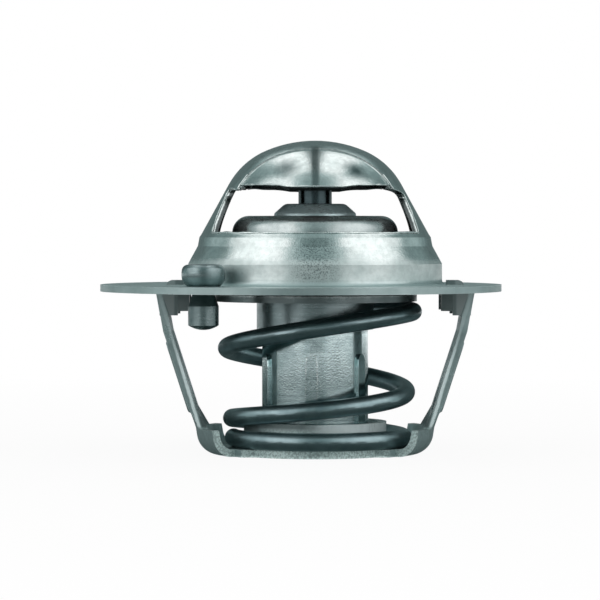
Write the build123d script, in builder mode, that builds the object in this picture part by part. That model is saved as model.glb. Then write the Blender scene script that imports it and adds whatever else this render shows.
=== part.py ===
from build123d import *
from math import acos, asin, atan2, cos, degrees, hypot, radians, sin, sqrt, tan
import os

# Engine thermostat insert, in millimetres, +Z towards the bridge.
# The origin is the centre of the flange circle in the plane of the flange underside.
# The valve, its spring and the bridge share one axis, which stands beside the flange centre.

os.makedirs("parts", exist_ok=True)

# Flange
flange_diameter = 48.0
flange_sheet = 0.8
valve_offset = 1.7

# Valve seat and bridge, drawn from one sheet with the flange
bridge_height = 18.0
bridge_sheet = 0.65
wall_radius = 15.2
wall_top = 3.3
neck_radius = 14.05
neck_bottom = 5.4
neck_lean = 0.2
neck_top = 6.45
cone_radius = 13.6
cone_bottom = 6.83
cone_angle = 28.8
shoulder_radius = 9.2
crown_radius = 15.0
foot_round = 0.6
mouth_round = 1.0

# Windows in the bridge
window_bottom = 7.0
window_top = 12.25
window_dip = 0.35
window_corner = 1.3
window_corner_drop = 0.14
window_corner_angle = 26.5
window_level_angle = 40.0
window_dip_angle = 72.0
leg_angle_bottom = 25.5
leg_angle_top = 16.0
panel_crease = 5.4
panel_depth = 0.15
panel_edge_top = 12.75
panel_edge_radius = 10.35
panel_edge_angle = 31.2
panel_edge_steps = 20
panel_sag_start = 62.0
panel_sag_end = 74.0

# Lower frame
frame_depth = 19.5
frame_sheet = 0.9
base_ring_radius = 9.9
base_half_width = 7.0
rim_bend = 2.6
rim_lean = 0.5
rim_top = -16.3
rim_half_angle = 32.0
collar_height = 3.9
collar_sheet = 1.0
collar_root_round = 0.5
element_slide_gap = 0.87
leg_half_width = 4.2
leg_foot_radius = 14.3
leg_bend_height = -4.7
leg_bend_radius = 18.05
leg_top_radius = 18.9
leg_flattening = 2.4
bead_length = 9.4
bead_width = 2.6
bead_height = 0.3
bead_taper = 50
bead_shift = 0.25
ear_half_width = 4.6
ear_reach = 2.6
ear_tip_reach = 1.35
ear_tip_inset = 0.8
ear_height = 2.8
ear_tip_height = 2.3
tongue_half_width = 2.0
tongue_sheet = 0.5
tongue_radius = 17.7
tongue_length = 1.95
tongue_jog = 0.6
tongue_root_inset = 0.1
tongue_bend = 0.55
slot_clearance = 0.12

# Spring
wire_diameter = 2.15
seat_gap = 0.02
coil_radius_bottom = 10.12
coil_radius_top = 11.72
coil_shift = 0.35
coil_start = 184
coil_end = 1192
coil_step = 24
coil_rise = {180: 0.0, 360: 0.0, 540: 0.15, 720: 0.36, 900: 0.70, 1080: 0.99, 1260: 1.0}

# Valve plate and seal
plate_sheet = 0.8
crown_top = 9.0
plate_shoulder = 2.0
plate_crown_radius = 9.8
plate_foot_radius = 10.4
brim_radius = 12.2
brim_top = -0.4
seal_gap = 0.1
seal_top = 4.9
seal_lip_bottom = 3.45
seal_inset = 0.8
seal_taper = 1.6
seal_brim_inset = 0.3

# Piston pin and guide
pin_diameter = 4.0
pin_tip_diameter = 2.8
pin_taper_top = -2.0
pin_bottom = -12.6
pin_running_gap = 0.03
pin_end_round = 2.6
hub_height = 1.45
hub_radius = 4.9
hub_rim = 0.3
hub_top_radius = 3.6
hub_round = 1.0
hub_edge_round = 0.4
hub_neck_radius = 4.4
guide_shoulder_radius = 5.6
guide_flange_radius = 6.1
guide_flange_top = 0.4
guide_flange_bottom = -2.0
washer_thickness = 0.8
washer_radius = 3.2

# Wax element
cup_collar_radius = 7.0
cup_collar_bottom = -4.6
cup_radius = 6.35
cup_wall = 0.7
cup_bottom = -18.5
cup_bottom_round = 1.0
cup_lip = 0.6
cup_lip_radius = 5.75
cup_lip_round = 0.54
rib_count = 6
rib_turn = -4.0
rib_width = 1.4
rib_tip_radius = 6.68
rib_top = -7.4
rib_point = 1.5
rib_end = -17.2
boot_flange = 1.6
boot_wall = 1.15
boot_floor = 1.2
wax_gap = 0.02

# Bleed valve in the flange
bleed_place = (-11.3, -13.2)
bleed_hole_radius = 1.5
bleed_head_radius = 2.55
bleed_head_top_radius = 1.75
bleed_head_seat_radius = 1.9
bleed_head_height = 2.55
bleed_head_widest = 1.5
bleed_shank_radius = 0.8
bleed_shank_length = 3.4
weight_radius = 1.78
weight_top_radius = 1.15
weight_top = 0.3
weight_cone_bottom = -1.5
weight_straight_bottom = -3.7
weight_bottom = -4.25

# Places worked out from the sizes above
valve_axis = Axis((valve_offset, 0, 0), (0, 0, 1))
valve_section = Plane(origin=(valve_offset, 0, 0), x_dir=(1, 0, 0), z_dir=(0, -1, 0))
base_bottom = -frame_depth
base_top = base_bottom + frame_sheet
pin_radius = pin_diameter / 2
pin_tip_radius = pin_tip_diameter / 2
collar_bore = rib_tip_radius + element_slide_gap
collar_outer_radius = collar_bore + collar_sheet
rim_foot_radius = leg_foot_radius - rim_lean


def turned_section(angle):
    """Upright plane through the valve axis, turned about it by an angle in degrees."""
    turned = (cos(radians(angle)), sin(radians(angle)), 0)
    normal = (sin(radians(angle)), -cos(radians(angle)), 0)
    return Plane(origin=(valve_offset, 0, 0), x_dir=turned, z_dir=normal)


def shoulder_arc_centre():
    """Centre of the arc that is tangent to the cone and to the crown of the bridge."""
    lean = radians(cone_angle)
    crown_z = bridge_height - crown_radius
    start_r = cone_radius - shoulder_radius * cos(lean)
    start_z = cone_bottom - shoulder_radius * sin(lean)
    along = -start_r * sin(lean) + (start_z - crown_z) * cos(lean)
    across = start_r**2 + (start_z - crown_z) ** 2 - (crown_radius - shoulder_radius) ** 2
    rise = -along + sqrt(along**2 - across)
    return start_r - rise * sin(lean), start_z + rise * cos(lean)


def moved_inwards(before, corner, after, inset):
    """Corner of the outline, moved so that both lines beside it lie inwards by inset."""
    above = (Vector(*corner) - Vector(*before)).normalized()
    below = (Vector(*after) - Vector(*corner)).normalized()
    inwards = Vector(above.Y + below.Y, -above.X - below.X)
    return Vector(*corner) + inwards * (inset / (1 + above.dot(below)))


def draw_skin(inset):
    """Closed half section of the seat and bridge, its outer face moved inwards by inset."""
    centre_r, centre_z = shoulder_arc_centre()
    crown_z = bridge_height - crown_radius
    join = degrees(atan2(centre_z - crown_z, centre_r))
    lean = radians(cone_angle)
    corners = [
        (centre_r + shoulder_radius * cos(lean), centre_z + shoulder_radius * sin(lean)),
        (cone_radius, cone_bottom),
        (neck_radius - neck_lean, neck_top),
        (neck_radius, neck_bottom),
        (wall_radius, wall_top),
        (wall_radius, 0),
    ]
    inner_corners = [
        moved_inwards(corners[n - 1], corners[n], corners[n + 1], inset) for n in range(1, len(corners) - 1)
    ]
    with BuildSketch(valve_section) as section:
        with BuildLine():
            crown = CenterArc((0, crown_z), crown_radius - inset, join, 90 - join)
            shoulder = CenterArc(
                (centre_r, centre_z), shoulder_radius - inset, cone_angle, join - cone_angle
            )
            Polyline(
                shoulder @ 0,
                *inner_corners,
                (wall_radius - inset, 0),
                (0, 0),
                crown @ 1,
            )
        make_face()
    return section.sketch


def window_face(distance):
    """Outline of a window at a distance in front of the valve axis, on rays from that axis."""
    plane = Plane(origin=(valve_offset, -distance, 0), x_dir=(1, 0, 0), z_dir=(0, -1, 0))
    bottom = distance / tan(radians(leg_angle_bottom))
    top = distance / tan(radians(leg_angle_top))
    corner = distance / tan(radians(window_corner_angle))
    level = distance / tan(radians(window_level_angle))
    middle = distance / tan(radians(window_dip_angle))
    share = 1 - window_corner / (window_top - window_bottom)
    side = bottom + share * (top - bottom)
    lean = (top - bottom, window_top - window_bottom)
    with BuildSketch(plane) as face:
        with BuildLine():
            Polyline(
                (-side, window_top - window_corner),
                (-bottom, window_bottom),
                (bottom, window_bottom),
                (side, window_top - window_corner),
            )
            Spline(
                (side, window_top - window_corner),
                (corner, window_top - window_corner_drop),
                (level, window_top),
                (middle, window_top - window_dip),
                (-middle, window_top - window_dip),
                (-level, window_top),
                (-corner, window_top - window_corner_drop),
                (-side, window_top - window_corner),
                tangents=(lean, (lean[0], -lean[1])),
            )
        make_face()
    return face.sketch


def panel_layer(outer_inset, inner_inset):
    """Front and back panels of the bridge, from the crease outwards, as a layer between two insets."""
    with BuildPart() as layer:
        add(draw_skin(outer_inset))
        revolve(axis=valve_axis)
        add(draw_skin(inner_inset))
        revolve(axis=valve_axis, mode=Mode.SUBTRACT)
        split(bisect_by=Plane.XY.offset(window_top - 1), keep=Keep.TOP)
        with Locations((valve_offset, 0, bridge_height / 2)):
            Box(flange_diameter, 2 * panel_crease, 2 * bridge_height, mode=Mode.SUBTRACT)
    return layer.part


def panel_edge_face(distance):
    """Outline, at a distance in front of the valve axis, of the slanted cut that ends a panel below."""
    plane = Plane(origin=(valve_offset, -distance, 0), x_dir=(1, 0, 0), z_dir=(0, -1, 0))
    top = []
    for n in range(panel_edge_steps + 1):
        angle = panel_edge_angle + n * (180 - 2 * panel_edge_angle) / panel_edge_steps
        sag = (min(angle, 180 - angle) - panel_sag_start) / (panel_sag_end - panel_sag_start)
        sag = min(1, max(0, sag))
        edge = panel_edge_top - window_dip * sag**2 * (3 - 2 * sag)
        reach = distance / sin(radians(angle))
        top.append((distance / tan(radians(angle)), edge + reach - panel_edge_radius))
    with BuildSketch(plane) as face:
        with BuildLine():
            Polyline(*top, (top[-1][0], window_bottom), (top[0][0], window_bottom), close=True)
        make_face()
    return face.sketch


# One window from the valve axis to the front, its side faces on rays from the axis,
# and the slanted cut that leaves the panel's edge square to the sheet
with BuildPart() as window_cutter:
    add(window_face(flange_diameter / 2))
    add(window_face(1))
    loft(ruled=True)
    add(panel_edge_face(flange_diameter / 2))
    add(panel_edge_face(panel_crease))
    loft(ruled=True)
    mirror(about=Plane.XZ)

# The bridge, the conical seat and the flange are one pressed sheet
with BuildPart() as bridge_flange:
    add(draw_skin(0))
    revolve(axis=valve_axis)
    add(draw_skin(bridge_sheet))
    revolve(axis=valve_axis, mode=Mode.SUBTRACT)
    add(panel_layer(-panel_depth, panel_depth), mode=Mode.SUBTRACT)
    add(panel_layer(bridge_sheet - panel_depth, bridge_sheet + panel_depth))
    add(window_cutter.part, mode=Mode.SUBTRACT)
    with BuildSketch(Plane.XY):
        Circle(flange_diameter / 2)
        with Locations((valve_offset, 0)):
            Circle(wall_radius - bridge_sheet, mode=Mode.SUBTRACT)
    extrude(amount=flange_sheet)
    foot = bridge_flange.edges().filter_by(GeomType.CIRCLE).filter_by_position(
        Axis.Z, flange_sheet - 0.01, flange_sheet + 0.01
    ).sort_by(SortBy.RADIUS)
    fillet(foot[0], radius=foot_round)
    mouth = bridge_flange.edges().filter_by(GeomType.CIRCLE).filter_by_position(
        Axis.Z, -0.01, 0.01
    ).sort_by(SortBy.RADIUS)
    fillet(mouth[0], radius=mouth_round)
    with BuildSketch(Plane.XY):
        with Locations((valve_offset, 0)):
            for side in (-1, 1):
                with Locations((side * (tongue_radius - tongue_sheet / 2), 0)):
                    Rectangle(
                        tongue_sheet + 2 * slot_clearance,
                        2 * (tongue_half_width + slot_clearance),
                    )
        with Locations(bleed_place):
            Circle(bleed_hole_radius)
    extrude(amount=flange_sheet, mode=Mode.SUBTRACT)


def leg_outer(height):
    """Distance of the outer face of a leg from the valve axis."""
    if height < leg_bend_height:
        share = (height - rim_top) / (leg_bend_height - rim_top)
        return leg_foot_radius + share * (leg_bend_radius - leg_foot_radius)
    share = (height - leg_bend_height) / -leg_bend_height
    return leg_bend_radius + share * (leg_top_radius - leg_bend_radius)


# Direction of the straight part of a leg, from its foot to its bend
leg_rise = leg_bend_height - rim_top
leg_run = leg_bend_radius - leg_foot_radius
leg_straight = hypot(leg_rise, leg_run)
leg_up = (leg_run / leg_straight, leg_rise / leg_straight)
leg_level_sheet = frame_sheet / leg_up[1]
leg_flat_start = rim_top + leg_flattening
bead_middle = (rim_top + leg_bend_height) / 2 + bead_shift


def leg_section(low, high):
    """Upright section of a leg between two heights, from its outer to its inner face."""
    heights = [low, high]
    if low < leg_bend_height < high:
        heights = [low, leg_bend_height, high]
    outer = [(leg_outer(height), height) for height in heights]
    inner = [(leg_outer(height) - leg_level_sheet, height) for height in reversed(heights)]
    return outer + inner


# The lower frame: base with a flanged hole, raised rims, beaded legs, ears and tongues
with BuildPart() as lower_frame:
    # Half of the base and one leg, on the side of +X
    with BuildSketch(Plane.XY.offset(base_bottom)):
        with Locations((valve_offset, 0)):
            Circle(rim_foot_radius - rim_bend)
            Rectangle(2 * rim_foot_radius, 2 * base_half_width, mode=Mode.INTERSECT)
            Circle(base_ring_radius)
            Circle(collar_bore, mode=Mode.SUBTRACT)
        with Locations((valve_offset - rim_foot_radius / 2, 0)):
            Rectangle(rim_foot_radius, 2 * rim_foot_radius, mode=Mode.SUBTRACT)
    extrude(amount=frame_sheet)
    with BuildSketch(turned_section(-rim_half_angle)) as rim_section:
        with BuildLine():
            Polyline(
                (collar_outer_radius, base_bottom),
                (rim_foot_radius, base_bottom),
                (leg_foot_radius, rim_top),
                (leg_foot_radius - frame_sheet, rim_top),
                (rim_foot_radius - frame_sheet, base_top),
                (collar_outer_radius, base_top),
                close=True,
            )
        make_face()
        fillet(rim_section.vertices().sort_by_distance((rim_foot_radius, base_bottom))[0], radius=rim_bend)
        rim_inside = (rim_foot_radius - frame_sheet, base_top)
        fillet(rim_section.vertices().sort_by_distance(rim_inside)[0], radius=rim_bend - frame_sheet)
    revolve(axis=valve_axis, revolution_arc=2 * rim_half_angle)
    # The leg leaves the curved rim and becomes flat
    with BuildSketch(Plane(origin=(valve_offset, 0, rim_top))):
        Circle(leg_foot_radius)
        Circle(leg_foot_radius - frame_sheet, mode=Mode.SUBTRACT)
        with Locations((leg_foot_radius, 0)):
            Rectangle(leg_foot_radius, 2 * leg_half_width, mode=Mode.INTERSECT)
    with BuildSketch(Plane(origin=(valve_offset, 0, leg_flat_start))):
        with Locations((leg_outer(leg_flat_start) - leg_level_sheet / 2, 0)):
            Rectangle(leg_level_sheet, 2 * leg_half_width)
    loft(ruled=True)
    with BuildSketch(valve_section):
        Polygon(*leg_section(leg_flat_start, -ear_height), align=None)
    extrude(amount=leg_half_width, both=True)
    # Bead along the leg, raised outside and hollow inside
    bead_origin = (valve_offset + leg_outer(bead_middle), 0, bead_middle)
    leg_face = Plane(
        origin=bead_origin,
        x_dir=(leg_up[0], 0, leg_up[1]),
        z_dir=(leg_up[1], 0, -leg_up[0]),
    )
    with BuildSketch(leg_face):
        SlotOverall(bead_length, bead_width)
    extrude(amount=bead_height, taper=bead_taper)
    with BuildSketch(leg_face.offset(-frame_sheet)):
        SlotOverall(bead_length, bead_width)
    extrude(amount=bead_height, taper=bead_taper, mode=Mode.SUBTRACT)
    # Web and ears, which bear on the flange from below
    with BuildSketch(valve_section):
        Polygon(*leg_section(-ear_height, 0), align=None)
    extrude(amount=ear_half_width, both=True)
    ear_start = valve_offset + leg_top_radius - frame_sheet / 2
    ear_end = valve_offset + leg_top_radius - ear_reach
    with BuildSketch(Plane.XY):
        with Locations(((ear_start + ear_end) / 2, 0)):
            Rectangle(ear_start - ear_end, 2 * ear_half_width)
            Rectangle(ear_start - ear_end, 2 * (ear_half_width - frame_sheet), mode=Mode.SUBTRACT)
    extrude(amount=-ear_height)
    with BuildSketch(Plane.XY):
        for side in (-1, 1):
            ear_side = side * ear_half_width
            ear_inside = side * (ear_half_width - frame_sheet)
            with BuildLine():
                Polyline(
                    (ear_end, ear_side),
                    (ear_end - ear_tip_reach, ear_side - side * ear_tip_inset),
                    (ear_end - ear_tip_reach, ear_inside - side * ear_tip_inset),
                    (ear_end, ear_inside),
                    close=True,
                )
            make_face()
    extrude(amount=-ear_tip_height)
    # The tongue is cut from the web, goes up through the flange and is bent over inwards
    tongue_foot = -ear_height - tongue_jog
    with BuildSketch(valve_section):
        with Locations((leg_top_radius, (tongue_jog - ear_height) / 2)):
            Rectangle(4 * frame_sheet, ear_height - tongue_jog)
    extrude(amount=tongue_half_width + slot_clearance, both=True, mode=Mode.SUBTRACT)
    with BuildSketch(valve_section) as tongue_section:
        with BuildLine():
            Polyline(
                (leg_outer(tongue_foot) - tongue_root_inset, tongue_foot),
                (tongue_radius, tongue_jog - ear_height),
                (tongue_radius, flange_sheet + tongue_sheet),
                (tongue_radius - tongue_length, flange_sheet + tongue_sheet),
                (tongue_radius - tongue_length, flange_sheet),
                (tongue_radius - tongue_sheet, flange_sheet),
                (tongue_radius - tongue_sheet, tongue_jog - ear_height),
                (leg_outer(tongue_foot) - leg_level_sheet + tongue_root_inset, tongue_foot),
                close=True,
            )
        make_face()
        bend = (tongue_radius, flange_sheet + tongue_sheet)
        fillet(tongue_section.vertices().sort_by_distance(bend)[0], radius=tongue_bend)
    extrude(amount=tongue_half_width, both=True)
    mirror(about=Plane.YZ.offset(valve_offset))
    # Collar of the hole in the base, which guides the wax element
    with BuildSketch(valve_section) as collar_section:
        with BuildLine():
            Polyline(
                (collar_bore, base_bottom),
                (collar_outer_radius, base_bottom),
                (collar_outer_radius, base_bottom + collar_height),
                (collar_bore, base_bottom + collar_height),
                close=True,
            )
        make_face()
        fillet(collar_section.vertices().sort_by_distance((collar_bore, base_bottom))[0], collar_root_round)
    revolve(axis=valve_axis)


def coil_share(angle):
    """Share of the spring's rise that the wire has reached at an angle, smooth between the half turns."""
    if angle <= min(coil_rise):
        return 0.0
    if angle >= max(coil_rise):
        return 1.0
    low = max(knot for knot in coil_rise if knot <= angle)
    high = low + 180
    place = (angle - low) / 180
    return (
        coil_rise[low] * (1 + 2 * place) * (1 - place) ** 2
        + coil_slope(low) * place * (1 - place) ** 2
        + coil_rise[high] * place**2 * (3 - 2 * place)
        - coil_slope(high) * place**2 * (1 - place)
    )


def coil_slope(knot):
    """Rise per half turn at a knot, none where the wire lies level on one side."""
    before = coil_rise[knot] - coil_rise.get(knot - 180, coil_rise[knot])
    after = coil_rise.get(knot + 180, coil_rise[knot]) - coil_rise[knot]
    if before * after == 0:
        return 0.0
    return 2 * before * after / (before + after)


def coil_point(angle):
    """Place of the middle of the wire at an angle, counted from +X against the clock."""
    low = base_top + wire_diameter / 2 + seat_gap
    high = brim_top - plate_sheet - wire_diameter / 2 - seat_gap
    turned = (angle - coil_start) / (coil_end - coil_start)
    radius = coil_radius_bottom + (coil_radius_top - coil_radius_bottom) * turned**2
    return (
        valve_offset + coil_shift + radius * cos(radians(angle)),
        radius * sin(radians(angle)),
        low + (high - low) * coil_share(angle),
    )


with BuildPart() as main_spring:
    steps = round((coil_end - coil_start) / coil_step)
    with BuildLine() as coil:
        Spline(*[coil_point(coil_start + (coil_end - coil_start) * n / steps) for n in range(steps + 1)])
    with BuildSketch(Plane(origin=coil.line @ 0, z_dir=coil.line % 0)):
        Circle(wire_diameter / 2)
    sweep(is_frenet=True)

# Valve plate, drawn as a hat from one sheet
with BuildPart() as valve_plate:
    with BuildSketch(valve_section) as hat_section:
        with BuildLine():
            Polyline(
                (hub_neck_radius, crown_top),
                (plate_crown_radius, crown_top),
                (plate_foot_radius, brim_top),
                (brim_radius, brim_top),
                (brim_radius, brim_top - plate_sheet),
                (plate_foot_radius - plate_sheet, brim_top - plate_sheet),
                (plate_crown_radius - plate_sheet, crown_top - plate_sheet),
                (hub_neck_radius, crown_top - plate_sheet),
                close=True,
            )
        make_face()
        outside = (plate_crown_radius, crown_top)
        inside = (plate_crown_radius - plate_sheet, crown_top - plate_sheet)
        fillet(hat_section.vertices().sort_by_distance(outside)[0], radius=plate_shoulder)
        fillet(hat_section.vertices().sort_by_distance(inside)[0], radius=plate_shoulder - plate_sheet)
    revolve(axis=valve_axis)


def plate_outer(height):
    """Radius of the outer face of the valve plate's wall at a height."""
    share = (height - brim_top) / (crown_top - brim_top)
    return plate_foot_radius + share * (plate_crown_radius - plate_foot_radius)


def seat_inner(height):
    """Radius of the inner face of the conical seat at a height."""
    slope = (wall_radius - neck_radius) / (neck_bottom - wall_top)
    return neck_radius + slope * (neck_bottom - height) - bridge_sheet * hypot(1, slope)


# Rubber ring moulded on the plate, its cone a little off the seat
with BuildPart() as valve_seal:
    lip_gap = seal_gap * hypot(1, (wall_radius - neck_radius) / (neck_bottom - wall_top))
    with BuildSketch(valve_section) as seal_section:
        with BuildLine():
            Polyline(
                (plate_outer(seal_top), seal_top),
                (seat_inner(seal_top) - lip_gap, seal_top),
                (seat_inner(seal_lip_bottom) - lip_gap, seal_lip_bottom),
                (seat_inner(seal_lip_bottom) - lip_gap - seal_inset, seal_lip_bottom - seal_taper),
                (brim_radius - seal_brim_inset, brim_top),
                (plate_outer(brim_top), brim_top),
                close=True,
            )
        make_face()
    revolve(axis=valve_axis)

# Hub and guide of the piston pin, clamped in the plate
with BuildPart() as guide_bush:
    hub_top = crown_top + hub_height
    with BuildSketch(valve_section) as guide_section:
        with BuildLine():
            Polyline(
                (pin_radius + pin_running_gap, hub_top),
                (hub_top_radius, hub_top),
                (hub_radius, crown_top + hub_rim),
                (hub_radius, crown_top),
                (hub_neck_radius, crown_top),
                (hub_neck_radius, crown_top - plate_sheet),
                (guide_shoulder_radius, crown_top - plate_sheet),
                (guide_shoulder_radius, guide_flange_top),
                (guide_flange_radius, guide_flange_top),
                (guide_flange_radius, guide_flange_bottom),
                (washer_radius, guide_flange_bottom),
                (washer_radius, guide_flange_bottom + washer_thickness),
                (pin_radius + pin_running_gap, guide_flange_bottom + washer_thickness),
                close=True,
            )
        make_face()
        fillet(guide_section.vertices().sort_by_distance((hub_top_radius, hub_top))[0], radius=hub_round)
        hub_edge = (hub_radius, crown_top + hub_rim)
        fillet(guide_section.vertices().sort_by_distance(hub_edge)[0], radius=hub_edge_round)
    revolve(axis=valve_axis)

with BuildPart() as backup_washer:
    with BuildSketch(Plane.XY.offset(guide_flange_bottom)):
        with Locations((valve_offset, 0)):
            Circle(washer_radius)
            Circle(pin_radius + pin_running_gap, mode=Mode.SUBTRACT)
    extrude(amount=washer_thickness)


def pin_reach(height, gap):
    """Radius of the piston pin at a height, wider by a gap."""
    share = (height - pin_bottom) / (pin_taper_top - pin_bottom)
    return pin_tip_radius + min(1, max(0, share)) * (pin_radius - pin_tip_radius) + gap


# The piston pin stands still under the bridge and its taper reaches into the boot
with BuildPart() as piston_pin:
    pin_top = bridge_height - bridge_sheet - seat_gap
    end_centre = pin_top - pin_end_round
    end_angle = degrees(acos(pin_radius / pin_end_round))
    with BuildSketch(valve_section):
        with BuildLine():
            rounded_end = CenterArc((0, end_centre), pin_end_round, end_angle, 90 - end_angle)
            Polyline(
                rounded_end @ 1,
                (0, pin_bottom),
                (pin_tip_radius, pin_bottom),
                (pin_radius, pin_taper_top),
                rounded_end @ 0,
            )
        make_face()
    revolve(axis=valve_axis)

# Wax cup with its collar, its lip rolled over the guide's flange and its ribs
cup_bore = cup_radius - cup_wall
cup_ledge = guide_flange_bottom - boot_flange
with BuildPart() as element_cup:
    with BuildSketch(valve_section) as cup_section:
        with BuildLine():
            Polyline(
                (0, cup_bottom),
                (cup_radius, cup_bottom),
                (cup_radius, cup_collar_bottom),
                (cup_collar_radius, cup_collar_bottom),
                (cup_collar_radius, guide_flange_top + cup_lip),
                (cup_lip_radius, guide_flange_top + cup_lip),
                (cup_lip_radius, guide_flange_top),
                (guide_flange_radius, guide_flange_top),
                (guide_flange_radius, cup_ledge),
                (cup_bore, cup_ledge),
                (cup_bore, cup_bottom + cup_wall),
                (0, cup_bottom + cup_wall),
                close=True,
            )
        make_face()
        corner = cup_section.vertices().sort_by_distance((cup_radius, cup_bottom))[0]
        fillet(corner, radius=cup_bottom_round)
        lip_corner = (cup_collar_radius, guide_flange_top + cup_lip)
        fillet(cup_section.vertices().sort_by_distance(lip_corner)[0], radius=cup_lip_round)
    revolve(axis=valve_axis)
    rib_planes = [
        turned_section(rib_turn + 360 * n / rib_count).offset(cup_radius - cup_wall / 2)
        for n in range(rib_count)
    ]
    with BuildSketch(*rib_planes):
        with BuildLine():
            half = rib_width / 2
            Line((half, rib_end), (half, rib_top - rib_point))
            Spline(
                (half, rib_top - rib_point),
                (0, rib_top),
                (-half, rib_top - rib_point),
                tangents=((0, 1), (0, -1)),
            )
            Polyline((-half, rib_top - rib_point), (-half, rib_end), (half, rib_end))
        make_face()
    extrude(amount=rib_tip_radius - cup_radius + cup_wall / 2)

# Rubber boot, its flange clamped between the cup's ledge and the guide
with BuildPart() as rubber_boot:
    with BuildSketch(valve_section):
        with BuildLine():
            Polyline(
                (0, pin_bottom - pin_running_gap - boot_floor),
                (pin_reach(pin_bottom, boot_wall), pin_bottom - pin_running_gap - boot_floor),
                (pin_reach(pin_taper_top, boot_wall), cup_ledge),
                (guide_flange_radius, cup_ledge),
                (guide_flange_radius, guide_flange_bottom),
                (pin_radius + pin_running_gap, guide_flange_bottom),
                (pin_reach(pin_bottom, pin_running_gap), pin_bottom - pin_running_gap),
                (0, pin_bottom - pin_running_gap),
                close=True,
            )
        make_face()
    revolve(axis=valve_axis)

with BuildPart() as wax_charge:
    boot_bottom = pin_bottom - pin_running_gap - boot_floor
    with BuildSketch(valve_section):
        with BuildLine():
            Polyline(
                (0, cup_bottom + cup_wall),
                (cup_bore - wax_gap, cup_bottom + cup_wall),
                (cup_bore - wax_gap, cup_ledge - wax_gap),
                (pin_reach(pin_taper_top, boot_wall) + wax_gap, cup_ledge - wax_gap),
                (pin_reach(pin_bottom, boot_wall) + wax_gap, boot_bottom - wax_gap),
                (0, boot_bottom - wax_gap),
                close=True,
            )
        make_face()
    revolve(axis=valve_axis)

# Bleed valve: head and shank above, weight below, both loose in the flange hole
bleed_axis = Axis((*bleed_place, 0), (0, 0, 1))
bleed_section = Plane(origin=(*bleed_place, 0), x_dir=(1, 0, 0), z_dir=(0, -1, 0))
shank_end = flange_sheet - bleed_shank_length

with BuildPart() as jiggle_pin:
    with BuildSketch(bleed_section) as head_section:
        head_top = flange_sheet + bleed_head_height
        head_middle = flange_sheet + bleed_head_widest
        with BuildLine():
            Line((0, shank_end), (bleed_shank_radius, shank_end))
            Line((bleed_shank_radius, shank_end), (bleed_shank_radius, weight_top))
            Line((bleed_shank_radius, weight_top), (weight_top_radius, weight_top))
            Line((weight_top_radius, weight_top), (weight_top_radius, flange_sheet))
            Line((weight_top_radius, flange_sheet), (bleed_head_seat_radius, flange_sheet))
            Spline(
                (bleed_head_seat_radius, flange_sheet),
                (bleed_head_radius, head_middle),
                (bleed_head_top_radius, head_top),
                tangents=((1, 0.8), (-1, 0.1)),
            )
            Line((bleed_head_top_radius, head_top), (0, head_top))
            Line((0, head_top), (0, shank_end))
        make_face()
    revolve(axis=bleed_axis)

with BuildPart() as jiggle_weight:
    end_depth = weight_straight_bottom - weight_bottom
    end_radius = (weight_radius**2 + end_depth**2) / (2 * end_depth)
    end_angle = degrees(asin(weight_radius / end_radius))
    with BuildSketch(bleed_section):
        with BuildLine():
            Polyline(
                (0, shank_end),
                (bleed_shank_radius, shank_end),
                (bleed_shank_radius, weight_top),
                (weight_top_radius, weight_top),
                (weight_radius, weight_cone_bottom),
                (weight_radius, weight_straight_bottom),
            )
            Line((0, shank_end), (0, weight_bottom))
            CenterArc((0, weight_bottom + end_radius), end_radius, -90, end_angle)
        make_face()
    revolve(axis=bleed_axis)

sub_parts = {
    "bridge_flange": bridge_flange,
    "lower_frame": lower_frame,
    "main_spring": main_spring,
    "valve_plate": valve_plate,
    "valve_seal": valve_seal,
    "guide_bush": guide_bush,
    "backup_washer": backup_washer,
    "piston_pin": piston_pin,
    "element_cup": element_cup,
    "rubber_boot": rubber_boot,
    "wax_charge": wax_charge,
    "jiggle_pin": jiggle_pin,
    "jiggle_weight": jiggle_weight,
}
for name, sub_part in sub_parts.items():
    sub_part.part.label = name
    export_step(sub_part.part, f"parts/{name}.step")
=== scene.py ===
import math

import bpy
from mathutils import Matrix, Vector


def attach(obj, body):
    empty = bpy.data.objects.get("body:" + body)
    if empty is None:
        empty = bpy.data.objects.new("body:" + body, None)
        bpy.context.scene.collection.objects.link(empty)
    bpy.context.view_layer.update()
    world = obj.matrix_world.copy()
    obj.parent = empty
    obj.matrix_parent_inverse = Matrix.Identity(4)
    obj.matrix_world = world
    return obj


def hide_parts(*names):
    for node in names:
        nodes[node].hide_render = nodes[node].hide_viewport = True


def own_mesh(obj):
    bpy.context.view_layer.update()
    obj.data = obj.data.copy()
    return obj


# Looks of the engine thermostat insert, in metres, around its own CAD solids.

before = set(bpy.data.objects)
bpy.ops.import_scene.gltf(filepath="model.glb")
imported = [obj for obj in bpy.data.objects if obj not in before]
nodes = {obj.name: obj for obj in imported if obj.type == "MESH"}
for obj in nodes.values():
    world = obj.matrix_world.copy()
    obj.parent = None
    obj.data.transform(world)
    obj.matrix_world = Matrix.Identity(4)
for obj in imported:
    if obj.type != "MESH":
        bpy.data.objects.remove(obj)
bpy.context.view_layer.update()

VALVE_AXIS = (0.0017, 0.0, 0.0)
BLEED_AXIS = (-0.0113, -0.0132, 0.0)
FLOOR_HEIGHT = -0.0195
MERGE_DISTANCE = 0.000002

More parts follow.
